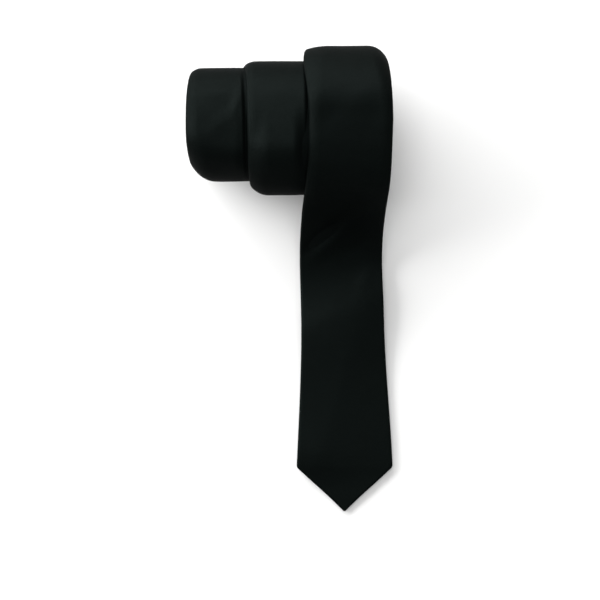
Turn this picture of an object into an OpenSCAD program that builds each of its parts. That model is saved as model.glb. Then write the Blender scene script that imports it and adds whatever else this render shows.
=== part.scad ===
// Slim necktie, put away rolled up from its narrow end. The front blade runs off the crest of the roll,
// down a short ramp, and lies flat with its point forward. Millimetres, +Z up, origin under the middle
// of the whole tie, on the surface that it lies on. The roll's axis is along X.

/* [Tie] */
// Greatest width of the front blade, near its point
blade_w = 50; // [49:0.5:51]
// Width of the tail, near its point
tail_w = 38; // [36:0.5:38]
// Width of the neck piece, its narrowest part
neck_w = 32; // [30:0.5:34]
// Thickness of the folded, lined tie
tie_t = 2.3; // [2.1:0.05:2.3]
// Thickness of the shell fabric
cloth_t = 0.4; // [0.35:0.05:0.4]
// Thickness of the interlining
lining_t = 1.0; // [0.8:0.1:1.0]
// Width of the hem turned in along the point
hem_w = 13; // [12:0.5:14]

/* [Roll] */
// Centre of the roll, forward of the origin's line
roll_y = 80; // [79.5:0.5:80.5]
// Height of the roll's centre
roll_z = 31.2; // [31.2:0.05:31.4]
// Distance from one inner turn to the next
pitch = 2.6; // [2.55:0.01:2.62]
// How much a turn leans down towards the telescoped end
lean = 0.07; // [0.05:0.005:0.07]
// Number of turns from the crest to the tail's point
turns = 10.5; // [9.5:0.5:10.5]

/* [Details] */
// Distance from the blade's point to the middle of the keeper loop
loop_s = 207; // [203:1:209]
// Distance from the blade's point to the middle of the blank label
label_s = 184; // [182:1:187]
// Distance from the blade's point to the bar tack
tack_s = 79; // [77:1:82]

/* [Hidden] */

half = tie_t / 2;
black = [0.05, 0.055, 0.06];
dark = [0.11, 0.11, 0.12];
felt = [0.75, 0.73, 0.68];
gap = 0.3;             // between the two bodies at the bend
point_y = -120.5;     // the blade's point
foot_y = -4.5;           // where the ramp meets the surface
ramp_phi = -60;        // where the ramp leaves the roll
step = 15;             // angle from one ring of the roll to the next

// ---- the roll: half-sizes of each half turn, forward-back (ra) and up-down (rb) ----
ra0 = [38.4, 37.8, 35.5, 29.9, 27.8, 26.6];
rb0 = [29.8, 30.4, 26.9, 26.05, 24.2];
function shrink(v, k) = k < len(v) ? v[k] : shrink(v, k - 2) - pitch;
ra = [for (k = [0:24]) shrink(ra0, k)];
rb = [for (k = [0:24]) shrink(rb0, k)];
function ease(f) = f * f * (3 - 2 * f);
function blendv(v, x) = let (c = max(0, min(x, len(v) - 1.001)), i = floor(c), f = c - i)
    v[i] + (v[i + 1] - v[i]) * ease(f);
// sideways place of the ribbon's middle, by turn
drift = [[-0.5, 30.4], [0, 29.7], [0.25, 27.9], [0.5, 14.2], [0.75, -1.3], [1, -2.4], [1.25, -5.5],
         [1.5, -21.2], [1.75, -33.9], [2, -34.9], [2.5, -31.2], [2.75, -28.8], [3, -28.4], [4.5, -27.6], [6, -28.6], [8, -27.1], [12, -27.6]];
function lean_of(t) = lean * ease(max(0, min(1, (t - 0.58) / 0.42)));

function roll_pt(phi) = let (t = phi / 360, a = blendv(ra, (t + 0.25) * 2), b = blendv(rb, t * 2))
    [roll_y + a * sin(phi), max(half, roll_z + b * cos(phi))];

// ---- the ramp: a cubic curve from the surface up to the roll ----
top = roll_pt(ramp_phi);
top_dir = let (d = roll_pt(ramp_phi + 4) - top) d / norm(d);
function ramp_pt(f) = let (p0 = [foot_y, half], p1 = [foot_y + 30, half], p2 = top - top_dir * 22, g = 1 - f)
    g * g * g * p0 + 3 * g * g * f * p1 + 3 * g * f * f * p2 + f * f * f * top;

flat_s = foot_y - point_y;
ramp_n = 12;
// stations in order from the blade's point: [y, z, turn]
flat_at = [1.5, 8, 18.6, 25, 30.4, 50, 75, 95, flat_s - 6, flat_s];
st = concat(
    [for (s = flat_at) [point_y + s, half, -1]],
    [for (i = [1:ramp_n]) let (p = ramp_pt(i / ramp_n)) [p[0], p[1], -1 + 0.8 * i / ramp_n]],
    [for (phi = [ramp_phi + step:step:360 * turns]) let (p = roll_pt(phi)) [p[0], p[1], phi / 360]]);
n_st = len(st);
function seg(i) = norm([st[i][0] - st[i - 1][0], st[i][1] - st[i - 1][1]]);
dist = [for (i = 0, s = flat_at[0]; i < n_st; i = i + 1, s = s + (i < n_st ? seg(i) : 0)) s];
total = dist[n_st - 1] + 1.5;
echo(total_length = total);

// ---- width, sideways place and slit of the tie at a distance s from the point ----
crest_s = lookup(0, [for (i = [len(flat_at) + ramp_n:n_st - 1]) [st[i][2], dist[i]]]);
widths = [[25, blade_w / 2], [100, 21.6], [crest_s, 21.1], [crest_s + 205, 19.5], [crest_s + 390, 17.75],
          [crest_s + 560, neck_w / 2], [crest_s + 760, neck_w / 2], [total - tail_w / 2, tail_w / 2]];
function w_at(s) = min(lookup(s, widths), s, total - s + 0.01);
mids = [[0, 27.7], [25, 27.8], [100, 26.7], [135, 25.8], [165, 26.7], [crest_s - 30, 28.7], [crest_s, 29.7]];
function x_at(s, t) = t < 0 ? lookup(s, mids) : lookup(t, drift);
function slit(s, w) = let (d = min(s, total - s), k = hem_w * 1.414)
    d < k ? min(0.25, w * 0.15) : max(0.25, d < k + hem_w * 0.8 ? d - k : lookup(d, [[k + hem_w * 0.8, hem_w * 0.8], [tack_s - 4, 0.25]]));

function tangent(i) = let (a = st[max(0, i - 1)], b = st[min(n_st - 1, i + 1)], d = [b[0] - a[0], b[1] - a[1]]) d / norm(d);
// a point at station i, u across and n out of the face
function place(i, u, n) = let (t = tangent(i), x = x_at(dist[i], st[i][2]) + u)
    [x, st[i][0] - n * t[1], st[i][1] + n * t[0] + lean_of(st[i][2]) * (x - 17.6)];
// the same at any distance s between stations
function index_of(s) = len([for (d = dist) if (d <= s) 1]) - 1;
function place_s(s, u, n) = let (i = max(0, min(index_of(s), n_st - 2)), f = (s - dist[i]) / (dist[i + 1] - dist[i]))
    place(i, u, n) * (1 - f) + place(i + 1, u, n) * f;

// ---- cross-sections, as [u, n] loops ----
// the folded shell: a C with its slit at the middle of the back
function shell_loop(w, g) = let (r = min(1, 0.4 * w), b = min(0.5, 0.3 * w), a = min(0.25, 0.1 * w), h = half, c = half - cloth_t)
    [[g, -h], [w - r, -h], [w, 0], [w - r, h], [r - w, h], [-w, 0], [r - w, -h], [-g, -h],
     [-g, -c], [r + a - w, -c], [b - w, 0], [r + a - w, c], [w - r - a, c], [w - b, 0], [w - r - a, -c], [g, -c]];
function core_loop(w) = let (c = half - cloth_t)
    [[w - 2, c - 0.1 - lining_t], [w - 1.2, 0.1], [w - 2, c - 0.1], [2 - w, c - 0.1], [1.2 - w, 0.1], [2 - w, c - 0.1 - lining_t]];
function strip_loop(w0, w1, n0, n1) = [[w0, n0], [w1, n0], [w1, n1], [w0, n1]];

// a tube through rings of points, its ends closed by triangles: from the outer to the inner edge of a C, or a fan
function lid(m) = m == 16 ? [for (k = [0:6]) each [[k, k + 1, 14 - k], [k, 14 - k, 15 - k]]] : [for (k = [1:m - 2]) [0, k, k + 1]];
module skin(rings) {
    m = len(rings[0]); k = len(rings);
    polyhedron(points = [for (r = rings) for (p = r) p],
        faces = concat([for (t = lid(m)) [t[2], t[1], t[0]]],
            [for (i = [0:k - 2]) for (j = [0:m - 1]) let (a = i * m + j, b = i * m + (j + 1) % m) each [[a, b, a + m], [b, b + m, a + m]]],
            [for (t = lid(m)) [for (j = t) (k - 1) * m + j]]), convexity = 12);
}
// stations whose distance lies between two limits, with the limits themselves
function span(s0, s1) = concat([s0], [for (d = dist) if (d > s0 + 0.4 && d < s1 - 0.4) d], [s1]);
function ring_s(s, loop) = [for (q = loop) place_s(s, q[0], q[1])];

module shell_piece(s0, s1) skin([for (s = span(s0, s1)) let (w = w_at(s)) ring_s(s, shell_loop(w, slit(s, w)))]);
module core_piece(s0, s1) skin([for (s = span(s0, s1)) ring_s(s, core_loop(w_at(s)))]);
module strip(s0, s1, w0, w1, n0, n1) skin([for (s = span(s0, s1)) ring_s(s, strip_loop(w0, w1, n0, n1))]);

bend_s = flat_s - 2;
seam1 = crest_s + 500;
seam2 = crest_s + 790;

module front_blade_free_end() color(black) shell_piece(1.5, bend_s - gap / 2);
module front_blade_shell() color(black) shell_piece(bend_s + gap / 2, seam1 - 0.3);
module neck_shell() color(black) shell_piece(seam1 + 0.3, seam2 - 0.3);
module tail_shell() color(black) shell_piece(seam2 + 0.3, total - 1.5);

module interlining_free_end() color(felt) core_piece(6, bend_s - gap / 2);
module interlining() color(felt) core_piece(bend_s + gap / 2, total - 6);

// the tipping: a thin lining that closes the back of the point, under the hems
module tipping(s0, s1) color(dark)
    skin([for (s = span(s0, s1)) let (w = w_at(s) - 2.6, c = half - cloth_t) ring_s(s, strip_loop(-w, w, 0.06 - c, 0.26 - c))]);
module blade_tipping() tipping(6, tack_s - 6);
module tail_tipping() tipping(total - tack_s + 6, total - 6);

// stitches along both hems of a point, each a short thread on the tipping
module hem_row(from, dir) color(dark)
    for (k = [0:7]) for (side = [-1, 1])
        let (d = 33 + k * 5, w = w_at(from + dir * d), g = slit(from + dir * d, w) - 0.5, c = half - cloth_t, s0 = from + dir * d - 1.2)
            if (g > 1.5) skin([for (s = [s0, s0 + 2.4]) let (q = side > 0 ? g - 0.35 : -g) ring_s(s, strip_loop(q, q + 0.35, -c - 0.24, -c + 0.04))]);
module blade_hem_stitches() hem_row(0, 1);
module tail_hem_stitches() hem_row(total, -1);

// the long hand stitch that closes the slit
module slip_piece(s0, s1) color(dark) strip(s0, s1, -0.15, 0.15, -half + 0.08, -half + cloth_t - 0.02);
module slip_stitch_free_end() slip_piece(tack_s + 1.5, bend_s - gap / 2);
module slip_stitch() slip_piece(bend_s + gap / 2, total - tack_s - 1.5);
// the spare loop of thread left at the end of the slip stitch, inside the point
module slip_stitch_reserve() color(dark)
    translate([x_at(tack_s - 19, -1), point_y + tack_s - 19, cloth_t - 0.16])
        rotate_extrude($fn = 32) translate([1.8, 0]) circle(r = 0.13, $fn = 16);

// bar tacks: a dense bar of thread across the top of each pocket
module bar_tack(s) color(dark) skin([for (q = [s - 0.6, s + 0.6]) ring_s(q, [[-0.2, 0.02 - half], [0.2, 0.02 - half], [0.2, half - cloth_t - 0.1 - lining_t - 0.02], [-0.2, half - cloth_t - 0.1 - lining_t - 0.02]])]);
module blade_bar_tack() bar_tack(tack_s);
module tail_bar_tack() bar_tack(total - tack_s);

// the keeper loop: a narrow folded band across the back, lying flat while nothing is tucked through it
loop_w = 12;
module keeper_loop() color(black)
    skin([for (s = span(loop_s - 5, loop_s + 5)) ring_s(s,
        [[-loop_w, -half - 0.05], [-loop_w, -half - 0.3], [1.5 - loop_w, -half - 0.7], [loop_w - 1.5, -half - 0.7], [loop_w, -half - 0.3],
         [loop_w, -half - 0.05]])]);
module keeper_loop_stitches() color(dark)
    for (side = [-1, 1]) for (k = [-3, -1, 1, 3])
        skin([for (s = [loop_s + k - 0.6, loop_s + k + 0.6]) ring_s(s, strip_loop(side * (loop_w + 0.3) - 0.2, side * (loop_w + 0.3) + 0.2, -half - 0.4, -half - 0.02))]);

// blank woven label on the back, with a stitch at each corner, and a small blank care tab beside it
module maker_label() color(dark) strip(label_s - 9, label_s + 9, -11.5, 11.5, -half - 0.4, -half - 0.05);
module maker_label_stitches() color(felt)
    for (side = [-1, 1]) for (end = [-1, 1])
        skin([for (s = span(label_s + end * 7 - 1, label_s + end * 7 + 1)) ring_s(s, strip_loop(side * 10.6 - 0.2, side * 10.6 + 0.2, -half - 0.52, -half - 0.41))]);
module care_label() color(felt) strip(label_s - 19, label_s - 11, 1, 11, -half - 0.34, -half - 0.05);

// threads of the two seams that join the three lengths of shell
module neck_seam_threads() color(dark)
    for (s = [seam1, seam2]) for (u = [-12:4:12]) let (v = u == 0 ? 1.5 : u, c = half)
        skin([for (q = [s - 0.3, s + 0.3]) ring_s(q, strip_loop(v - 0.3, v + 0.3, c - cloth_t, c))]);

front_blade_free_end();
front_blade_shell();
neck_shell();
tail_shell();
interlining_free_end();
interlining();
blade_tipping();
tail_tipping();
blade_hem_stitches();
tail_hem_stitches();
slip_stitch_free_end();
slip_stitch();
slip_stitch_reserve();
blade_bar_tack();
tail_bar_tack();
keeper_loop();
keeper_loop_stitches();
maker_label();
maker_label_stitches();
care_label();
neck_seam_threads();
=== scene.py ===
# A plain black slim necktie, rolled from its narrow end, its blade run out flat in front of the roll.
# Every soft piece is built in mesh code along one path: the flat blade, the ramp and the spiral of the roll.
import bpy, math
import numpy as np
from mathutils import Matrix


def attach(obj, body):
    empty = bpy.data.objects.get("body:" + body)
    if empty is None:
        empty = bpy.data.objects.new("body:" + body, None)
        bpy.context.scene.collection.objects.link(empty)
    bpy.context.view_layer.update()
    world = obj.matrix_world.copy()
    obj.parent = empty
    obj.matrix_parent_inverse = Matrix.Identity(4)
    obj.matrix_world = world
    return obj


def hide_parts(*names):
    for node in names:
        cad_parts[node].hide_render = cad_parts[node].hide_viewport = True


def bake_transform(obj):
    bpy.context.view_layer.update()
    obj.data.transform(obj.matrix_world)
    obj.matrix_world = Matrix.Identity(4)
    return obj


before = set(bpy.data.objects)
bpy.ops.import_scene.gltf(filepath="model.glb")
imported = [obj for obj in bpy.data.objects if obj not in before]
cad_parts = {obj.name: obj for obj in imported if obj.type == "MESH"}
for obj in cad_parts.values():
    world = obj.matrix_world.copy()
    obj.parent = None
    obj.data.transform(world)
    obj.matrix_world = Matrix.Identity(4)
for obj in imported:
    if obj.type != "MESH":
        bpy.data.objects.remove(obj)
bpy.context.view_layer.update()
MM = 0.001

# ---------------------------------------------------------------- the path, as the CAD model has it (mm)
T = 2.3
H = T / 2
CLOTH = 0.4
HEM = 13.0
ROLL_Y, ROLL_Z, PITCH, LEAN, TURNS = 80.0, 31.2, 2.6, 0.07, 10.5
POINT_Y, FOOT_Y, RAMP_PHI = -120.5, -4.5, -60.0
BEND_Y = -6.5
RA = [38.4, 37.8, 35.5, 29.9, 27.8, 26.6]
RB = [29.8, 30.4, 26.9, 26.05, 24.2]
while len(RA) < 26: RA.append(RA[-2] - PITCH)
while len(RB) < 26: RB.append(RB[-2] - PITCH)
RA, RB = np.array(RA), np.array(RB)

def ease(f):
    f = np.clip(f, 0, 1)
    return f * f * (3 - 2 * f)

def blendv(v, x):
    x = np.clip(x, 0, len(v) - 1.001)
    i = np.floor(x).astype(int)
    return v[i] + (v[i + 1] - v[i]) * ease(x - i)

def roll_pt(phi):
    t = phi / 360
    r = np.radians(phi)
    y = ROLL_Y + blendv(RA, (t + 0.25) * 2) * np.sin(r)
    z = ROLL_Z + blendv(RB, np.maximum(t, 0) * 2) * np.cos(r)
    d = z - H
    return y, H + 0.5 * (d + np.sqrt(d * d + 0.09)) - 0.02 * np.exp(-np.maximum(d, 0))

def ramp_pts(n):
    ty, tz = roll_pt(np.array([RAMP_PHI, RAMP_PHI + 4]))
    top = np.array([ty[0], tz[0]])
    d = np.array([ty[1] - ty[0], tz[1] - tz[0]]); d /= np.linalg.norm(d)
    p0, p1, p2 = np.array([FOOT_Y, H]), np.array([FOOT_Y + 30, H]), top - d * 22
    f = np.linspace(0, 1, n)[:, None]; g = 1 - f
    return g**3 * p0 + 3 * g * g * f * p1 + 3 * g * f * f * p2 + f**3 * top

flat = np.stack([np.linspace(POINT_Y, FOOT_Y, 233), np.full(233, H)], 1)
ramp = ramp_pts(90)
phis = np.arange(RAMP_PHI, 360 * TURNS + 0.01, 1.5)
ry, rz = roll_pt(phis)
PATH = np.concatenate([flat, ramp[1:], np.stack([ry, rz], 1)[1:]])
TURN = np.concatenate([np.full(233, -1.0), np.linspace(-1, RAMP_PHI / 360, 90)[1:], phis[1:] / 360])
SEG = np.linalg.norm(np.diff(PATH, axis=0), axis=1)
DIST = np.concatenate([[0], np.cumsum(SEG)])
TOTAL = float(DIST[-1])
TAN = np.gradient(PATH, DIST, axis=0)
for _ in range(3):
    TAN[1:-1] = (TAN[:-2] + 2 * TAN[1:-1] + TAN[2:]) / 4
TAN /= np.linalg.norm(TAN, axis=1)[:, None]
CREST = float(np.interp(0, TURN[322:], DIST[322:]))
SEAM1, SEAM2 = CREST + 500, CREST + 790
BEND_S = BEND_Y - POINT_Y
TACK = 79.0

DRIFT = np.array([[-0.5, 30.4], [0, 29.7], [0.25, 27.9], [0.35, 27.2], [0.5, 14.2], [0.75, -1.3], [1, -2.4], [1.25, -5.5], [1.5, -21.2],
                  [1.75, -33.3], [2, -34.9], [2.5, -31.2], [2.75, -28.8], [3, -28.4], [4.5, -27.6], [6, -28.6], [8, -27.1], [12, -27.6]])
MIDS = np.array([[0, 27.7], [25, 27.8], [100, 26.7], [135, 25.8], [165, 26.7], [CREST - 30, 28.7], [CREST, 29.7]])
WIDE = np.array([[25, 25.0], [100, 21.6], [CREST, 21.1], [CREST + 205, 19.5], [CREST + 390, 17.75], [CREST + 560, 16], [CREST + 760, 16],
                 [TOTAL - 19, 19.0]])

def smooth_table(x, tab):
    # monotone cubic through the table's points, so that the edges of the tie are smooth curves
    X, Y = tab[:, 0], tab[:, 1]
    d = np.diff(Y) / np.diff(X)
    m = np.zeros(len(X)); m[1:-1] = np.where(d[:-1] * d[1:] > 0, 2 * d[:-1] * d[1:] / (d[:-1] + d[1:] + 1e-12), 0)
    m[0], m[-1] = d[0], d[-1]
    x = np.clip(x, X[0], X[-1]); i = np.clip(np.searchsorted(X, x, side="right") - 1, 0, len(X) - 2)
    h = X[i + 1] - X[i]; t = (x - X[i]) / h
    return ((1 + 2 * t) * (1 - t)**2 * Y[i] + t * (1 - t)**2 * h * m[i] + t * t * (3 - 2 * t) * Y[i + 1] + t * t * (t - 1) * h * m[i + 1])

def soft_min(a, b, k):
    f = np.clip(0.5 + 0.5 * (b - a) / k, 0, 1)
    return b * (1 - f) + a * f - k * f * (1 - f)

def w_at(s):
    s = np.asarray(s, float)
    side = smooth_table(s, WIDE)
    w = soft_min(side, (s + 0.15) * (1 + 0.065 * ease(s / 18)), 0.9)
    return np.maximum(soft_min(w, TOTAL - s + 0.15, 0.9), 0.12)

def x_at(s):
    t = np.interp(s, DIST, TURN)
    return np.where(t < 0, smooth_table(s, MIDS), smooth_table(t, DRIFT))

def slit(s, w):
    d = np.minimum(s, TOTAL - s)
    k = HEM * 1.414
    open_ = np.where(d < k + HEM * 0.8, d - k, np.interp(d, [k + HEM * 0.8, TACK - 3], [HEM * 0.8, 0.12]))
    g = np.maximum(0.12, open_)
    # round the inner corner of the V a little
    g = np.where(np.abs(d - (k + HEM * 0.8)) < 4, g - 0.35 * (1 - np.abs(d - (k + HEM * 0.8)) / 4)**2, g)
    return np.minimum(g, np.maximum(w * 0.15, 0.03)) * (d < k) + g * (d >= k)

# how far each edge of the tie rounds over towards the inside of the roll, by turn: [turn, left, right, reach]
DROOP = [
    [-1.0, 0.0, 0.0, 9], [-0.4, 0.0, 0.0, 9], [-0.17, 1.4, 0.6, 6], [0.0, 1.9, 1.8, 6], [0.12, 2.2, 3.8, 9], [0.25, 2.2, 6.8, 13], [0.38, 2.0, 4.2, 12],
    [0.5, 0.2, 0.3, 10], [0.62, 2.2, 0.6, 9], [0.75, 4.4, 0.8, 10], [0.88, 1.8, 0.5, 8], [1.0, 1.0, 0.4, 5], [1.12, 1.1, 0.4, 5], [1.25, 2.4, 0.5, 7], [1.38, 1.2, 0.4, 7],
    [1.5, 0.5, 0.3, 8], [1.62, 5.2, 0.3, 14], [1.75, 9.6, 0.4, 17], [1.86, 6.0, 0.3, 13], [1.95, 2.6, 0.3, 8], [2.05, 1.4, 0.3, 6], [2.12, 1.6, 0.3, 5.5],
    [2.25, 2.4, 0.3, 5.5], [2.38, 1.6, 0.3, 6], [2.5, 0.8, 0.2, 6]]
for k in range(2, 12):
    DROOP += [[k + 0.62, 1.8, 0.2, 8], [k + 0.75, 3.3, 0.3, 9.5], [k + 0.88, 1.8, 0.2, 8], [k + 1.0, 0.4, 0.2, 6], [k + 1.5, 0.2, 0.2, 6]]
DROOP = np.array(DROOP)

def bump(x, y, x0, y0, angle, length, width):
    # a soft oval lump with its long axis at an angle from X
    c, k = math.cos(math.radians(angle)), math.sin(math.radians(angle))
    p = (x - x0) * c + (y - y0) * k; q = (y - y0) * c - (x - x0) * k
    return np.exp(-(p / length)**2 - (q / width)**2)

def relief(s, u):
    # soft lie of the free blade and the ramp, mm up from the path
    y = np.interp(s, DIST, PATH[:, 0])
    # a low swell where the blade comes to rest, turned across the tie: short towards the roll, long towards the point
    c = y + 17.5 - 0.46 * u
    z = 3.1 * np.exp(-(c / np.where(c > 0, 11.5, 27.0))**2)
    # from there a broad ridge runs down across the blade; its right side falls away
    d = u - 13.4 + (116 - s) * 0.31
    w = w_at(s); ridge = u - d
    left, right = 0.5 * (np.sqrt(d * d + 10) - d), 0.5 * (np.sqrt(d * d + 10) + d)
    tent = np.maximum(0.03 * (w + ridge), 0.11 * (w - ridge)) + 0.1 - 0.03 * left - 0.11 * right
    z = z + np.maximum(tent, 0) * ease((s - 4) / 30) * (1 - 0.75 * ease((s - 104) / 30)) * (1 - ease((s - 128) / 30))
    # slow waves along the blade
    z = z + 0.12 * (1 + np.sin(s / 15.0 + 0.6)) * ease((s - 30) / 40) * (1 - ease((s - 150) / 40))
    z = z + 0.08 * (1 + np.sin(s / 8.0 + u / 10.0 + 1.3)) * ease((s - 12) / 30) * (1 - ease((s - 190) / 50))
    # soft diagonal creases at the foot of the ramp
    x = x_at(s) + u
    z = z - 2.5 * bump(x, y, 19.0, 25.9, 41, 13.5, 2.5) + 1.2 * bump(x, y, 20.5, 20.6, 41, 12.0, 3.2) + 0.6 * bump(x, y, 16.5, 31.0, 41, 12.0, 3.0)
    z = z - 0.6 * bump(x, y, 33.0, 19.0, 32, 9.0, 3.2) + 0.5 * bump(x, y, 38.5, 1.5, 62, 8.0, 3.6)
    return np.where(s < CREST - 20, z * (1 - ease((s - (CREST - 60)) / 40)), 0.0)

# how the two telescoped turns lie, mm out from the path by degrees from the crest: flat on top, then bending down short of the front
FLAT_TOP = np.array([[-180, 0], [-125, 0], [-90, 0.35], [-74, 0.35], [-60, 0.7], [-48, 1.6], [-38, 3.0], [-31, 3.8], [-25, 4.0], [-12, 2.1], [0, 0.7], [14, 0.05], [25, 0], [180, 0]])
LOW_FRONT = np.array([[-180, 0], [-150, 0], [-112, 0.5], [-88, 0.7], [-64, 0.9], [-48, 1.7], [-38, 2.6], [-29, 2.9], [-20, 2.2], [-10, 1.0], [0, 0.3], [15, 0], [180, 0]])

BREAK = np.array([[-180, 0], [-72, 0], [-54, -0.5], [-38, -1.2], [-25, -1.8], [-14, -1.85], [-3, -1.2], [5, -0.3], [12, 0.7], [19, 1.15], [30, 0.95], [46, 0.3], [70, 0], [180, 0]])

def swell(t, x):
    a = (t - np.round(t)) * 360
    k = np.round(t)
    y = np.radians(a) * 32.0                      # along the turn from its crest
    top = np.maximum(np.cos(np.radians(a)), 0)**2
    n = np.zeros(np.broadcast(t, x).shape)
    # the outer turn breaks over just behind the crest and runs straight down from there, with soft dents on the crest
    o = smooth_table(a + 0.10 * (x - 28), BREAK) + 0.55 * bump(x, y, 32.5, 7.0, 18, 11, 4.6) + 0.35 * bump(x, y, 14.5, 8.0, 8, 8, 4.0) - 0.55 * bump(x, y, 19.5, 0.5, 25, 8, 4.0) - 0.3 * bump(x, y, 42.5, 3.0, 60, 9, 5)
    n = n + np.where(k == 0, o, 0)
    # distance past the edge of the turn that lies over this one
    wide = np.interp(t, [0.7, 1.3, 2.3, 3], [21.1, 20.8, 19.6, 19.4])
    past = x - (smooth_table(t - 1, DRIFT) - wide)
    # the second turn: flat, then down beside the outer turn, most of all below the crest
    m = smooth_table(a, FLAT_TOP) * (0.3 + 0.7 * ease((x + 21.5) / 11.0)) * (1 - ease((past + 7.5) / 7.0))
    m = m - 1.0 * ease((past + 8.0) / 7.5) * top * ease((6 - y) / 12)
    m = m - 0.35 * bump(x, y, -16.8, -7.0, 75, 8.0, 2.8) + 0.35 * bump(x, y, -6.0, 13.0, 25, 9, 4.5)
    n = n + np.where(k == 1, m, 0)
    # the third turn
    low = smooth_table(a + (3 + np.clip(0.9 * (x + 36.0), -10, 7)) * top, LOW_FRONT)
    l = low * (1 - 0.35 * ease((past + 7.0) / 6.5) * ease((a + 62) / 20))
    l = l + 0.8 * bump(x, y, -38.0, 16.0, 6, 10, 3.0) + 0.7 * bump(x, y, -27.0, 9.0, 78, 7.0, 2.4) + 0.45 * bump(x, y, -36.5, -4.0, 35, 7, 3.5) - 0.35 * bump(x, y, -33.0, 7.0, 20, 6, 3.2)
    l = l - 0.7 * ease((past + 5.5) / 5.0) * top * ease((4 - y) / 10)
    n = n + np.where(k == 2, l, 0)
    # a narrow groove right beside the edge that lies over it, layer on layer
    groove = ease((past + 1.8) / 1.6) * top * np.clip(1 - 0.06 * (t - 2), 0.3, 1)
    n = n - np.where(t > 0.6, 1.7 * groove, 0)
    return n

def wobble(t, x):
    # the same small unevenness for every turn, so that the layers stay nested
    a = 2 * math.pi * t
    return 0.16 * np.sin(2 * a + x / 19.0 + 0.8) + 0.12 * np.sin(3 * a - x / 13.0 + 2.1) + 0.07 * np.sin(5 * a + x / 8.0)

def place(s, u, n):
    """Points of the tie: s along it from the blade's point, u across, n out of its face, all in mm."""
    s, u, n = np.broadcast_arrays(np.asarray(s, float), np.asarray(u, float), np.asarray(n, float))
    y = np.interp(s, DIST, PATH[:, 0]); z = np.interp(s, DIST, PATH[:, 1])
    ty = np.interp(s, DIST, TAN[:, 0]); tz = np.interp(s, DIST, TAN[:, 1])
    l = np.hypot(ty, tz); ty, tz = ty / l, tz / l
    t = np.interp(s, DIST, TURN); w = w_at(s)
    x = x_at(s) + u
    dl, dr, reach = (np.interp(t, DROOP[:, 0], DROOP[:, k]) for k in (1, 2, 3))
    reach = np.minimum(reach, w * 0.9)
    f = np.clip((np.abs(u) - (w - reach)) / reach, 0, 1.1)
    drop = np.where(u < 0, dl, dr)
    n = n - drop * f * f * (1 - (1 - f) * ease((drop - 3) / 4))
    # a real fold also draws the edge in where it rounds over
    x = x - np.sign(u) * np.minimum(drop, 6) * 0.16 * f * f - np.where(u < 0, 2.0 * np.exp(-((t - 0.145) / 0.085)**2) * (u / w)**2, 0)
    n = n + np.where(t > -0.1, wobble(t, x) * ease((t + 0.1) / 0.3), 0) + np.where(t > -0.25, swell(t, x) * ease((t + 0.25) / 0.12), 0)
    lean = LEAN * ease((t - 0.58) / 0.42)
    Z = z + n * ty + lean * (x - 17.6) + relief(s, u) * np.maximum(ty, 0.3)
    # the stitches on the back hold the flat blade a hair off the surface, and nothing sinks into it
    Z = Z + 0.24 * (1 - ease((z - H) / 6.0)) * (t < 0)
    return np.stack([x, y - n * tz, 0.02 + 0.5 * (Z - 0.02 + np.sqrt((Z - 0.02)**2 + 0.01))], -1)

# ---------------------------------------------------------------- meshes
def new_mesh(name, verts, faces, uv=None, smooth=True):
    me = bpy.data.meshes.new(name)
    me.from_pydata((np.asarray(verts) * MM).tolist(), [], [list(map(int, f)) for f in faces])
    # the strips above are listed clockwise as seen from outside
    me.validate(); me.flip_normals(); me.update()
    if smooth:
        me.polygons.foreach_set("use_smooth", np.ones(len(me.polygons), bool))
    if uv is not None:
        idx = np.zeros(len(me.loops), int); me.loops.foreach_get("vertex_index", idx)
        lay = me.uv_layers.new(name="cloth")
        lay.data.foreach_set("uv", np.asarray(uv, np.float32)[idx].ravel())
    ob = bpy.data.objects.new(name, me)
    bpy.context.scene.collection.objects.link(ob)
    return ob

def lid(m, c_shape):
    if c_shape:
        h = m // 2
        return [[k, k + 1, m - 2 - k, m - 1 - k] for k in range(h - 1)]
    return [list(range(m))]

def skin(name, rings, uvs=None, c_shape=False, material=None):
    rings = np.asarray(rings); k, m = rings.shape[:2]
    i = np.arange(k - 1)[:, None] * m; j = np.arange(m)[None]; j2 = (j + 1) % m
    quads = np.stack([i + j, i + j2, i + m + j2, i + m + j], -1).reshape(-1, 4)
    caps = [f[::-1] for f in lid(m, c_shape)] + [[v + (k - 1) * m for v in f] for f in lid(m, c_shape)]
    faces = quads.tolist() + caps
    ob = new_mesh(name, rings.reshape(-1, 3), faces, None if uvs is None else np.asarray(uvs).reshape(-1, 2))
    if material: ob.data.materials.append(material)
    return ob

def stations(s0, s1):
    """Distances along the tie, close together at the point and wherever the tie bends tightly."""
    out = [s0]
    while out[-1] < s1:
        s = out[-1]
        t = float(np.interp(s, DIST, TURN))
        d = min(s, TOTAL - s)
        step = 0.45 if d < 3 else 0.9 if d < 32 else 1.6 if d < 84 else 2.2
        if t > 2.7: step = min(max(0.75, float(np.interp(t, [2.7, 10.5], [2.6, 0.7]))), step + 1)
        out.append(s + step)
    out[-1] = s1
    if out[-1] - out[-2] < 0.2: out.pop(-2)
    return np.array(out)

def edge_arc(n):
    return np.linspace(-90, 90, n)

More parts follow.
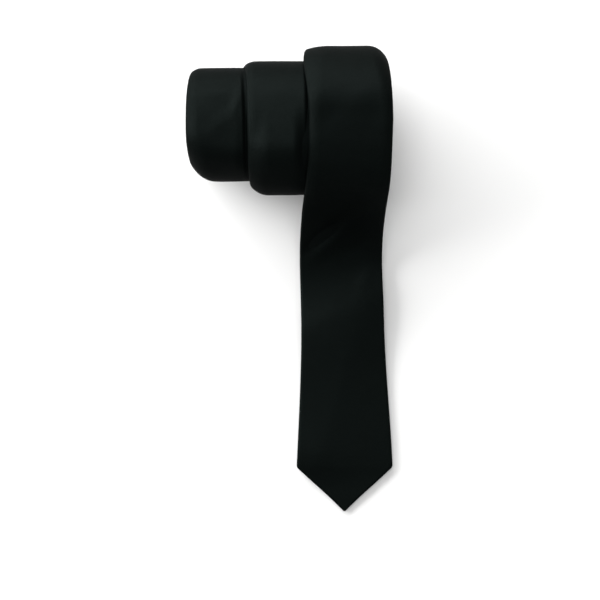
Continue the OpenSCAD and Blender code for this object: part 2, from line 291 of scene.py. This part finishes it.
def shell_section(s):
    """The folded shell at distance s: outer surface from the slit round the face and back, then the inside."""
    w = float(w_at(s)); g = float(slit(s, w))
    d = min(s, TOTAL - s)
    diag = 1 + 0.414 * float(1 - ease((d - 20) / 8))
    rx = min(1.25 * diag, 0.55 * w)
    h = H * (0.62 + 0.38 * float(ease(d / 9)))
    lip = min(0.32, 0.3 * w)
    lh = min(0.62, 0.5 * h)                       # height of the turned edge at the slit
    right = []
    for a in (0, 35, 70):                          # lip, from inside the slit to the back
        r = math.radians(a)
        right.append((g + lip * (1 - math.sin(r)) * 0.0 + lip * (1 - math.cos(math.radians(a))) , -h + lh * 0.5 * (1 - math.sin(r))))
    right = [(g + lip * (1 - math.cos(math.radians(a))), -h + lh * 0.5 * (1 - math.sin(math.radians(a)))) for a in (0, 40, 75)]
    back = [(g + lip + (w - rx - g - lip) * f, -h * (1 + 0.02 * math.sin(math.pi * f))) for f in np.linspace(0, 1, 9)]
    edge = [(w - rx + rx * math.cos(math.radians(a)), h * math.sin(math.radians(a))) for a in np.linspace(-90, 90, 9)[1:-1]]
    front = [((w - rx) * f, h * (1 + 0.035 * (1 - f * f))) for f in np.linspace(1, 0, 30)]
    half = right + back + edge + front
    outer = half + [(-u, n) for u, n in half[-2::-1]]
    c, e = h - CLOTH, min(0.45, 0.3 * w)
    inner = [(g, -c), (g + (w - rx - g) * 0.5, -c), (w - rx - e * 0.3, -c), (w - e, 0), (w - rx - e * 0.3, c), (0.0, c)]
    # the inside runs back the other way, so that the loop closes through the slit
    back_in = [(-u, n) for u, n in inner[:-1]] + inner[::-1]
    return outer, back_in, w

def cloth_piece(name, s0, s1, mat):
    ss = stations(s0, s1)
    rings, uvs = [], []
    for s in ss:
        outer, inner, w = shell_section(s)
        pts = np.array(outer + inner)
        rings.append(pts)
        o = np.array(outer); dd = np.concatenate([[0], np.cumsum(np.linalg.norm(np.diff(o, axis=0), axis=1))])
        mid = dd[len(o) // 2]; ucoord = dd - mid
        iv = np.array(inner)[:, 0] * 1.0
        uvs.append(np.stack([np.concatenate([ucoord, iv]) * MM, np.full(len(pts), s * MM)], 1))
    rings = np.array(rings)
    S = np.repeat(ss[:, None], rings.shape[1], 1)
    P = place(S, rings[..., 0], rings[..., 1])
    m = rings.shape[1]; k = len(ss)
    i = np.arange(k - 1)[:, None] * m; j = np.arange(m)[None]; j2 = (j + 1) % m
    quads = np.stack([i + j, i + j2, i + m + j2, i + m + j], -1).reshape(-1, 4)
    # end faces: join the outer loop to the inner loop, which has fewer points
    no = len(outer); ni = len(inner)
    def cap(base):
        f = []
        a, b = 0, m - 1                            # walk both loops from the slit's right lip
        while a < no - 1 or b > no:
            ua = a / (no - 1); ub = (m - 1 - b) / (ni - 1)
            if (ua <= ub and a < no - 1) or b == no:
                f.append([base + a, base + a + 1, base + b]); a += 1
            else:
                f.append([base + a, base + b - 1, base + b]); b -= 1
        return f
    faces = quads.tolist() + [t[::-1] for t in cap(0)] + cap((k - 1) * m)
    ob = new_mesh(name, P.reshape(-1, 3), faces, np.array(uvs).reshape(-1, 2))
    ob.data.materials.append(mat)
    return ob

def strip(name, ss, left, right, n0, n1, mat, round_=0.0, cols=12):
    """A thin band lying along the tie: left and right edges and the two faces' heights may change with s."""
    ss = np.asarray(ss, float); k = len(ss)
    L = np.broadcast_to(np.asarray(left, float), (k,)); R = np.broadcast_to(np.asarray(right, float), (k,))
    A = np.broadcast_to(np.asarray(n0, float), (k,)); B = np.broadcast_to(np.asarray(n1, float), (k,))
    f = np.linspace(0, 1, cols)
    lo = np.stack([L[:, None] + (R - L)[:, None] * f, np.repeat(A[:, None], cols, 1)], -1)
    hi = np.stack([L[:, None] + (R - L)[:, None] * f[::-1], np.repeat(B[:, None], cols, 1)], -1)
    sec = np.concatenate([lo, hi], 1)
    if round_:
        mid = (A + B) / 2
        sec[:, 0, 1] = mid - (B - A) * 0.15; sec[:, -1, 1] = mid + (B - A) * 0.15
        sec[:, cols - 1, 1] = mid - (B - A) * 0.15; sec[:, cols, 1] = mid + (B - A) * 0.15
    S = np.repeat(ss[:, None], sec.shape[1], 1)
    P = place(S, sec[..., 0], sec[..., 1])
    uv = np.stack([sec[..., 0] * MM, S * MM], -1)
    m = sec.shape[1]
    i = np.arange(k - 1)[:, None] * m; j = np.arange(m)[None]; j2 = (j + 1) % m
    quads = np.stack([i + j, i + j2, i + m + j2, i + m + j], -1).reshape(-1, 4)
    caps = [[q, q + 1, m - 2 - q, m - 1 - q] for q in range(cols - 1)]
    faces = quads.tolist() + [c[::-1] for c in caps] + [[v + (k - 1) * m for v in c] for c in caps]
    ob = new_mesh(name, P.reshape(-1, 3), faces, uv.reshape(-1, 2))
    ob.data.materials.append(mat)
    return ob

def threads(name, runs, radius, mat, sides=8):
    """Many short threads in one mesh. Each run is a list of (s, u, n) points; the ends are rounded."""
    V, F, UV = [], [], []
    for run in runs:
        P = np.array([place(*q) for q in run])
        t = np.gradient(P, axis=0); t /= np.linalg.norm(t, axis=1)[:, None] + 1e-12
        up = np.array([0.13, 0.31, 0.94]); a = np.cross(t, up); a /= np.linalg.norm(a, axis=1)[:, None]; b = np.cross(t, a)
        # rounded ends: two more rings and a narrower tip
        P = np.concatenate([[P[0] - t[0] * radius * 0.8, P[0] - t[0] * radius * 0.35], P, [P[-1] + t[-1] * radius * 0.35, P[-1] + t[-1] * radius * 0.8]])
        a = np.concatenate([[a[0], a[0]], a, [a[-1], a[-1]]]); b = np.concatenate([[b[0], b[0]], b, [b[-1], b[-1]]])
        r = np.full(len(P), radius); r[0] = r[-1] = radius * 0.35; r[1] = r[-2] = radius * 0.85
        base = sum(len(v) for v in V)
        ang = np.linspace(0, 2 * math.pi, sides, endpoint=False)
        ring = P[:, None] + r[:, None, None] * (np.cos(ang)[None, :, None] * a[:, None] + np.sin(ang)[None, :, None] * b[:, None])
        V.append(ring.reshape(-1, 3)); k = len(P)
        ln = np.concatenate([[0], np.cumsum(np.linalg.norm(np.diff(P, axis=0), axis=1))])
        UV.append(np.stack([np.broadcast_to(ang / (2 * math.pi) * radius * 6.28, (k, sides)), np.broadcast_to(ln[:, None], (k, sides))], -1).reshape(-1, 2) * MM)
        for i in range(k - 1):
            for j in range(sides):
                F.append([base + i * sides + j, base + (i + 1) * sides + j, base + (i + 1) * sides + (j + 1) % sides, base + i * sides + (j + 1) % sides])
        F.append([base + j for j in range(sides)]); F.append([base + (k - 1) * sides + j for j in range(sides)][::-1])
    ob = new_mesh(name, np.concatenate(V), F, np.concatenate(UV))
    ob.data.materials.append(mat)
    return ob

# ---------------------------------------------------------------- materials
def nodes_of(name):
    m = bpy.data.materials.new(name); m.use_nodes = True
    nt = m.node_tree; nt.nodes.clear()
    out = nt.nodes.new("ShaderNodeOutputMaterial"); bs = nt.nodes.new("ShaderNodeBsdfPrincipled")
    nt.links.new(bs.outputs[0], out.inputs[0])
    return m, nt, bs

def math_node(nt, op, a, b=None, c=None):
    n = nt.nodes.new("ShaderNodeMath"); n.operation = op
    for i, v in enumerate((a, b, c)):
        if v is None: continue
        if isinstance(v, (int, float)): n.inputs[i].default_value = v
        else: nt.links.new(v, n.inputs[i])
    return n.outputs[0]

def ramp_node(nt, fac, stops):
    r = nt.nodes.new("ShaderNodeValToRGB")
    while len(r.color_ramp.elements) < len(stops): r.color_ramp.elements.new(0.5)
    for e, (p, c) in zip(r.color_ramp.elements, stops): e.position = p; e.color = (*c, 1)
    nt.links.new(fac, r.inputs[0])
    return r.outputs[0]

def noise(nt, vec, scale, detail=3, rough=0.55):
    n = nt.nodes.new("ShaderNodeTexNoise"); n.inputs["Scale"].default_value = scale
    n.inputs["Detail"].default_value = detail; n.inputs["Roughness"].default_value = rough
    nt.links.new(vec, n.inputs["Vector"])
    return n.outputs[0]

def cloth_uv(nt):
    u = nt.nodes.new("ShaderNodeUVMap"); u.uv_map = "cloth"
    s = nt.nodes.new("ShaderNodeSeparateXYZ"); nt.links.new(u.outputs[0], s.inputs[0])
    return u.outputs[0], s.outputs[0], s.outputs[1]

def woven(name, dark, light, pitch, rough, sheen, spec, bump=0.5, float_len=3.0, weft=0.35, tint=(0.8, 0.88, 1.0), spec_tint=(1, 1, 1)):
    """Satin-faced twill on the bias: fine diagonal wales, each broken into thread floats, over a smooth ground."""
    m, nt, bs = nodes_of(name)
    uv, U, V = cloth_uv(nt)
    # along and across the wales, in metres
    a = math_node(nt, "ADD", math_node(nt, "MULTIPLY", U, 0.80), math_node(nt, "MULTIPLY", V, 0.60))
    b = math_node(nt, "SUBTRACT", math_node(nt, "MULTIPLY", V, 0.80), math_node(nt, "MULTIPLY", U, 0.60))
    jit = noise(nt, uv, 900.0, 2)
    ph = math_node(nt, "ADD", math_node(nt, "MULTIPLY", a, 2 * math.pi / (pitch * MM)), math_node(nt, "MULTIPLY", jit, 1.6))
    wale = math_node(nt, "MULTIPLY_ADD", math_node(nt, "SINE", ph), 0.5, 0.5)
    # floats: the wale is cut across at a step that shifts from one wale to the next
    row = math_node(nt, "FLOOR", math_node(nt, "DIVIDE", ph, 2 * math.pi))
    ph2 = math_node(nt, "ADD", math_node(nt, "MULTIPLY", b, 2 * math.pi / (pitch * float_len * MM)), math_node(nt, "MULTIPLY", row, 2.1))
    cut = math_node(nt, "POWER", math_node(nt, "MULTIPLY_ADD", math_node(nt, "SINE", ph2), 0.5, 0.5), 4.0)
    height = math_node(nt, "SUBTRACT", wale, math_node(nt, "MULTIPLY", cut, weft))
    fibre = noise(nt, uv, 6500.0, 2)
    cloud = noise(nt, uv, 55.0, 4)
    mixv = math_node(nt, "MULTIPLY_ADD", height, 0.55, math_node(nt, "MULTIPLY_ADD", cloud, 0.30, math_node(nt, "MULTIPLY", fibre, 0.15)))
    col = ramp_node(nt, mixv, [(0.15, dark), (0.85, light)])
    nt.links.new(col, bs.inputs["Base Color"])
    r = math_node(nt, "MULTIPLY_ADD", cloud, 0.10, math_node(nt, "MULTIPLY_ADD", height, -0.07, rough - 0.015))
    nt.links.new(r, bs.inputs["Roughness"])
    bs.inputs["Specular IOR Level"].default_value = spec
    bs.inputs["Specular Tint"].default_value = (*spec_tint, 1)
    bs.inputs["Sheen Weight"].default_value = sheen
    bs.inputs["Sheen Roughness"].default_value = 0.42
    bs.inputs["Sheen Tint"].default_value = (*tint, 1)
    hsum = math_node(nt, "MULTIPLY_ADD", fibre, 0.35, height)
    bn = nt.nodes.new("ShaderNodeBump"); bn.inputs["Strength"].default_value = bump; bn.inputs["Distance"].default_value = 0.00006
    nt.links.new(hsum, bn.inputs["Height"])
    # faint handling creases, millimetres across
    big = noise(nt, uv, 130.0, 3)
    b2 = nt.nodes.new("ShaderNodeBump"); b2.inputs["Strength"].default_value = 0.35; b2.inputs["Distance"].default_value = 0.0004
    nt.links.new(big, b2.inputs["Height"]); nt.links.new(bn.outputs[0], b2.inputs["Normal"])
    nt.links.new(b2.outputs[0], bs.inputs["Normal"])
    return m

m_shell = woven("tie_satin_twill", (0.0008, 0.0012, 0.0011), (0.0028, 0.0040, 0.0037), 0.34, 0.50, 0.0, 0.045, bump=0.6, spec_tint=(0.74, 1.0, 0.95))
m_tipping = woven("tipping_lining", (0.0035, 0.0037, 0.0045), (0.010, 0.0105, 0.012), 0.16, 0.38, 0.06, 0.30, bump=0.25, float_len=2.0)
m_label = woven("woven_label", (0.030, 0.031, 0.036), (0.060, 0.062, 0.070), 0.22, 0.42, 0.05, 0.35, bump=0.4, float_len=5.0)
m_care = woven("care_ribbon", (0.42, 0.41, 0.38), (0.66, 0.65, 0.61), 0.25, 0.55, 0.05, 0.30, bump=0.4, float_len=2.0, tint=(1, 1, 1))

def thread_mat(name, c0, c1):
    m, nt, bs = nodes_of(name)
    uv, U, V = cloth_uv(nt)
    ph = math_node(nt, "ADD", math_node(nt, "MULTIPLY", V, 2 * math.pi / (0.35 * MM)), math_node(nt, "MULTIPLY", U, 2 * math.pi / (0.7 * MM)))
    tw = math_node(nt, "MULTIPLY_ADD", math_node(nt, "SINE", ph), 0.5, 0.5)
    nt.links.new(ramp_node(nt, tw, [(0.0, c0), (1.0, c1)]), bs.inputs["Base Color"])
    nt.links.new(math_node(nt, "MULTIPLY_ADD", tw, -0.12, 0.52), bs.inputs["Roughness"])
    bs.inputs["Specular IOR Level"].default_value = 0.35
    bn = nt.nodes.new("ShaderNodeBump"); bn.inputs["Strength"].default_value = 0.6; bn.inputs["Distance"].default_value = 0.00005
    nt.links.new(tw, bn.inputs["Height"]); nt.links.new(bn.outputs[0], bs.inputs["Normal"])
    return m
m_thread = thread_mat("black_thread", (0.008, 0.0085, 0.010), (0.028, 0.029, 0.033))
m_label_thread = thread_mat("label_thread", (0.05, 0.05, 0.055), (0.13, 0.13, 0.14))

def felt_mat():
    m, nt, bs = nodes_of("interlining_felt")
    uv, U, V = cloth_uv(nt)
    f = noise(nt, uv, 1500.0, 4, 0.7)
    nt.links.new(ramp_node(nt, f, [(0.3, (0.46, 0.44, 0.39)), (0.75, (0.68, 0.66, 0.60))]), bs.inputs["Base Color"])
    nt.links.new(math_node(nt, "MULTIPLY_ADD", f, 0.1, 0.85), bs.inputs["Roughness"])
    bs.inputs["Sheen Weight"].default_value = 0.3
    bn = nt.nodes.new("ShaderNodeBump"); bn.inputs["Strength"].default_value = 0.7; bn.inputs["Distance"].default_value = 0.0002
    nt.links.new(f, bn.inputs["Height"]); nt.links.new(bn.outputs[0], bs.inputs["Normal"])
    return m
m_felt = felt_mat()

# ---------------------------------------------------------------- camera, floor, light
cam_d = bpy.data.cameras.new("camera"); cam_d.lens = 114.7; cam_d.sensor_width = 36; cam_d.clip_end = 20
cam = bpy.data.objects.new("camera", cam_d); bpy.context.scene.collection.objects.link(cam)
cam.location = (0.0045, -0.00995, 1.0)
bpy.context.scene.camera = cam

floor_me = bpy.data.meshes.new("floor")
floor_me.from_pydata([(-0.7, -0.7, 0), (0.7, -0.7, 0), (0.7, 0.7, 0), (-0.7, 0.7, 0)], [], [(0, 1, 2, 3)])
floor = bpy.data.objects.new("floor", floor_me); bpy.context.scene.collection.objects.link(floor)
mf, nt, bs = nodes_of("pale_floor")
bs.inputs["Roughness"].default_value = 0.85
# a dark card under the lens in a studio does the same: the pale floor sends less light back up at the cloth than it shows
fl = nt.nodes.new("ShaderNodeLightPath")
nt.links.new(ramp_node(nt, fl.outputs["Is Camera Ray"], [(0.0, (0.28, 0.28, 0.278)), (1.0, (0.90, 0.90, 0.895))]), bs.inputs["Base Color"])
bs.inputs["Specular IOR Level"].default_value = 0.1
floor_me.materials.append(mf)
floor.location.z = -0.0001

def area(name, loc, target, size, power, size_y=None):
    d = bpy.data.lights.new(name, "AREA"); d.energy = power; d.size = size
    if size_y: d.shape = "RECTANGLE"; d.size_y = size_y
    o = bpy.data.objects.new(name, d); bpy.context.scene.collection.objects.link(o)
    v = np.array(target, float) - np.array(loc, float); v /= np.linalg.norm(v)
    o.location = loc
    import mathutils
    o.rotation_euler = mathutils.Vector(v).to_track_quat("-Z", "Y").to_euler()
    return o
area("key_back", (-0.75, 1.7, 0.75), (0, 0.02, 0.02), 2.2, 59, 0.9)
area("fill_left", (-1.6, 0.5, 0.6), (0, 0, 0), 1.0, 35)
area("top", (-0.1, 0.5, 2.3), (0, 0, 0), 1.6, 17.5)
world = bpy.data.worlds.new("studio"); world.use_nodes = True
bg = world.node_tree.nodes["Background"]; bg.inputs[0].default_value = (1, 1, 1, 1)
# the backdrop behind the floor is plain white, and lights the tie with less than it shows
wt = world.node_tree; lp = wt.nodes.new("ShaderNodeLightPath")
wm = wt.nodes.new("ShaderNodeMath"); wm.operation = "MULTIPLY_ADD"; wm.inputs[1].default_value = 0.58; wm.inputs[2].default_value = 0.42
wt.links.new(lp.outputs["Is Camera Ray"], wm.inputs[0]); wt.links.new(wm.outputs[0], bg.inputs[1])
bpy.context.scene.world = world
bpy.context.scene.view_settings.view_transform = "Standard"

# ---------------------------------------------------------------- the tie
blade = cloth_piece("front_blade_cloth", 0.3, SEAM1 - 0.15, m_shell)
neck = cloth_piece("neck_cloth", SEAM1 + 0.15, SEAM2 - 0.15, m_shell)
tail = cloth_piece("tail_cloth", SEAM2 + 0.15, TOTAL - 0.3, m_shell)

def core(name, s0, s1):
    ss = stations(s0, s1)
    w = w_at(ss) - 2.0
    return strip(name, ss, -w, w, H - CLOTH - 1.15, H - CLOTH - 0.14, m_felt, round_=1, cols=56)
inter = core("interlining_felt_core", 7, TOTAL - 7)

def tipping(name, s0, s1):
    ss = stations(s0, s1)
    w = w_at(ss) - 2.8
    return strip(name, ss, -w, w, -(H - CLOTH) + 0.10, -(H - CLOTH) + 0.30, m_tipping, round_=1, cols=24)
tip_a = tipping("blade_tipping_lining", 6.5, TACK - 5)
tip_b = tipping("tail_tipping_lining", TOTAL - TACK + 5, TOTAL - 6.5)

# hem stitches beside the V of each pocket
def hem(name, base, sign):
    runs = []
    for side in (-1, 1):
        d = 20.5
        while d < TACK - 10:
            s = base + sign * d
            pts = []
            for q in np.linspace(0, 1.5, 4):
                sq = s + sign * q
                g = float(slit(np.array(sq), w_at(sq))) if True else 0
                pts.append((sq, side * (g + 1.1), -H - 0.02 + 0.06 * abs(q / 0.75 - 1)))
            runs.append(pts); d += 2.6
    return threads(name, runs, 0.13, m_thread)
hem_a = hem("blade_hem_threads", 0, 1)
hem_b = hem("tail_hem_threads", TOTAL, -1)

# long hand stitches across the slit
def slips(name, s0, s1, step=6.5):
    runs = []; s = s0; k = 0
    while s < s1 - 2.5:
        du = 0.55 + 0.1 * math.sin(k * 2.3)
        runs.append([(s + 2.0 * q, -du + 2 * du * q, -H - 0.02 - 0.05 * math.sin(math.pi * q)) for q in np.linspace(0, 1, 5)])
        s += step + 0.6 * math.sin(k * 1.7); k += 1
    return threads(name, runs, 0.12, m_thread)
slip_free = slips("slip_stitches_of_the_free_end", TACK + 4, BEND_S - 14)
slip_bend = slips("slip_stitches_of_the_roll", BEND_S - 10, TOTAL - TACK - 3)

def bar(name, s):
    runs = [[(s - 0.75 + 1.5 * q, u + 0.05 * math.sin(9 * u), -H - 0.10 - 0.10 * math.sin(math.pi * q)) for q in np.linspace(0, 1, 4)] for u in np.arange(-3.6, 3.61, 0.36)]
    runs += [[(s + o, u, -H - 0.02) for u in np.linspace(-3.9, 3.9, 12)] for o in (-0.3, 0.3)]
    return threads(name, runs, 0.15, m_thread)
bar_a = bar("blade_bar_tack_threads", TACK)
bar_b = bar("tail_bar_tack_threads", TOTAL - TACK)

# spare loop of thread inside the point
def ring_loop():
    pts = []
    for a in np.linspace(0, 2 * math.pi * 0.93, 30):
        pts.append((TACK - 19 + 1.9 * math.cos(a) * 1.25, 1.7 * math.sin(a), -(H - CLOTH) - 0.10 - 0.05 * math.sin(3 * a)))
    pts += [(TACK - 19 + 3.2, -1.1, -(H - CLOTH) - 0.1), (TACK - 19 + 6.0, -0.5, -(H - CLOTH) - 0.08), (TACK - 19 + 9.5, -0.2, -(H - CLOTH) - 0.05)]
    return threads("slip_stitch_spare_loop", [pts], 0.12, m_thread)
spare = ring_loop()

# keeper loop: a narrow self-cloth band across the back
LOOP_S = 207.0
def keeper():
    us = np.linspace(-12.6, 12.6, 41)
    hs = 5.0
    V, UV, F = [], [], []
    prof = []
    for a in np.linspace(0, 360, 24, endpoint=False):
        c, s_ = math.cos(math.radians(a)), math.sin(math.radians(a))
        prof.append((math.copysign(abs(c) ** 0.22, c) * hs, math.copysign(abs(s_) ** 0.6, s_) * 0.42))
    for u in us:
        e = min(1.0, (12.6 - abs(u)) / 1.6)
        lift = 0.50 + 0.35 * float(ease((11.0 - abs(u)) / 4.0))
        th = 0.55 + 0.45 * math.sin(math.pi / 2 * max(e, 0.0))
        for q, n in prof:
            V.append(place(LOOP_S + q, u, -H - lift - n * th)); UV.append(((q + 200) * MM, u * MM))
    m = len(prof)
    for i in range(len(us) - 1):
        for j in range(m):
            F.append([i * m + j, i * m + (j + 1) % m, (i + 1) * m + (j + 1) % m, (i + 1) * m + j])
    F.append(list(range(m))[::-1]); F.append([(len(us) - 1) * m + j for j in range(m)])
    ob = new_mesh("keeper_loop_band", np.array(V), F, np.array(UV)); ob.data.materials.append(m_shell)
    return ob
loop = keeper()
runs = []
for side in (-1, 1):
    for k in np.arange(-4.2, 4.3, 1.4):
        runs.append([(LOOP_S + k + q, side * 12.0, -H - 0.98 + 0.10 * abs(q / 0.45 - 1)) for q in np.linspace(0, 0.9, 4)])
loop_st = threads("keeper_loop_threads", runs, 0.13, m_thread)

# blank label, its stitches, and a blank care tab
LABEL_S = 184.0
ls = np.linspace(LABEL_S - 9, LABEL_S + 9, 25)
label = strip("blank_label", ls, -11.5, 11.5, -H - 0.42, -H - 0.06, m_label, round_=1, cols=24)
runs = []
for side in (-1, 1):
    for end in (-1, 1):
        runs.append([(LABEL_S + end * 8.0, side * (8.6 + q), -H - 0.46 - 0.06 * math.sin(math.pi * q / 2.2)) for q in np.linspace(0, 2.2, 5)])
        runs.append([(LABEL_S + end * (6.0 + q), side * 10.6, -H - 0.46 - 0.06 * math.sin(math.pi * q / 2.0)) for q in np.linspace(0, 2.0, 5)])
label_st = threads("label_threads", runs, 0.14, m_label_thread)
care = strip("care_ribbon_tab", np.linspace(LABEL_S - 19, LABEL_S - 11, 13), 1, 11, -H - 0.36, -H - 0.05, m_care, round_=1, cols=14)

# threads of the two seams that join the lengths of shell
runs = []
for s in (SEAM1, SEAM2):
    for u in np.arange(-14, 14.1, 1.6):
        runs.append([(s - 0.5 + q, u, H + 0.01) for q in np.linspace(0, 1.0, 3)])
seam_st = threads("neck_seam_stitches", runs, 0.09, m_thread)

# ---------------------------------------------------------------- what rides on what
for ob in (blade, inter):
    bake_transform(ob)
for ob in (neck, tail, tip_b, hem_b, bar_b, loop, loop_st, label, label_st, care, seam_st):
    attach(ob, "root")
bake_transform(slip_bend)
for ob in (tip_a, hem_a, slip_free, bar_a, spare):
    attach(ob, "free_blade")
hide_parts("front_blade_free_end", "front_blade_shell")
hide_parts("interlining_free_end", "interlining")
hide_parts("neck_shell"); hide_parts("tail_shell")
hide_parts("blade_tipping"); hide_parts("tail_tipping")
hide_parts("blade_hem_stitches"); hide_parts("tail_hem_stitches")
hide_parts("slip_stitch_free_end"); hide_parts("slip_stitch")
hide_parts("slip_stitch_reserve")
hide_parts("blade_bar_tack"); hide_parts("tail_bar_tack")
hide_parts("keeper_loop"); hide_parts("keeper_loop_stitches")
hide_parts("maker_label"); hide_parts("maker_label_stitches"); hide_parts("care_label")
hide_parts("neck_seam_threads")

# the flat sizes of the cloth, in metres; a shell length is cut to the front and the back together
def cut_area(s0, s1, layers, inset=0.0):
    ss = np.linspace(s0, s1, 400)
    return float(np.trapezoid(np.maximum(w_at(ss) - inset, 0) * 2 * layers, ss)) * MM * MM if hasattr(np, "trapezoid") else float(np.trapz(np.maximum(w_at(ss) - inset, 0) * 2 * layers, ss)) * MM * MM
cut_area(0, SEAM1, 2)
cut_area(SEAM1, SEAM2, 2)
cut_area(SEAM2, TOTAL, 2)
cut_area(7, TOTAL - 7, 1, 2.0)
cut_area(6.5, TACK - 5, 1, 2.8)
cut_area(6.5, TACK - 5, 1, 2.8) * 0.78
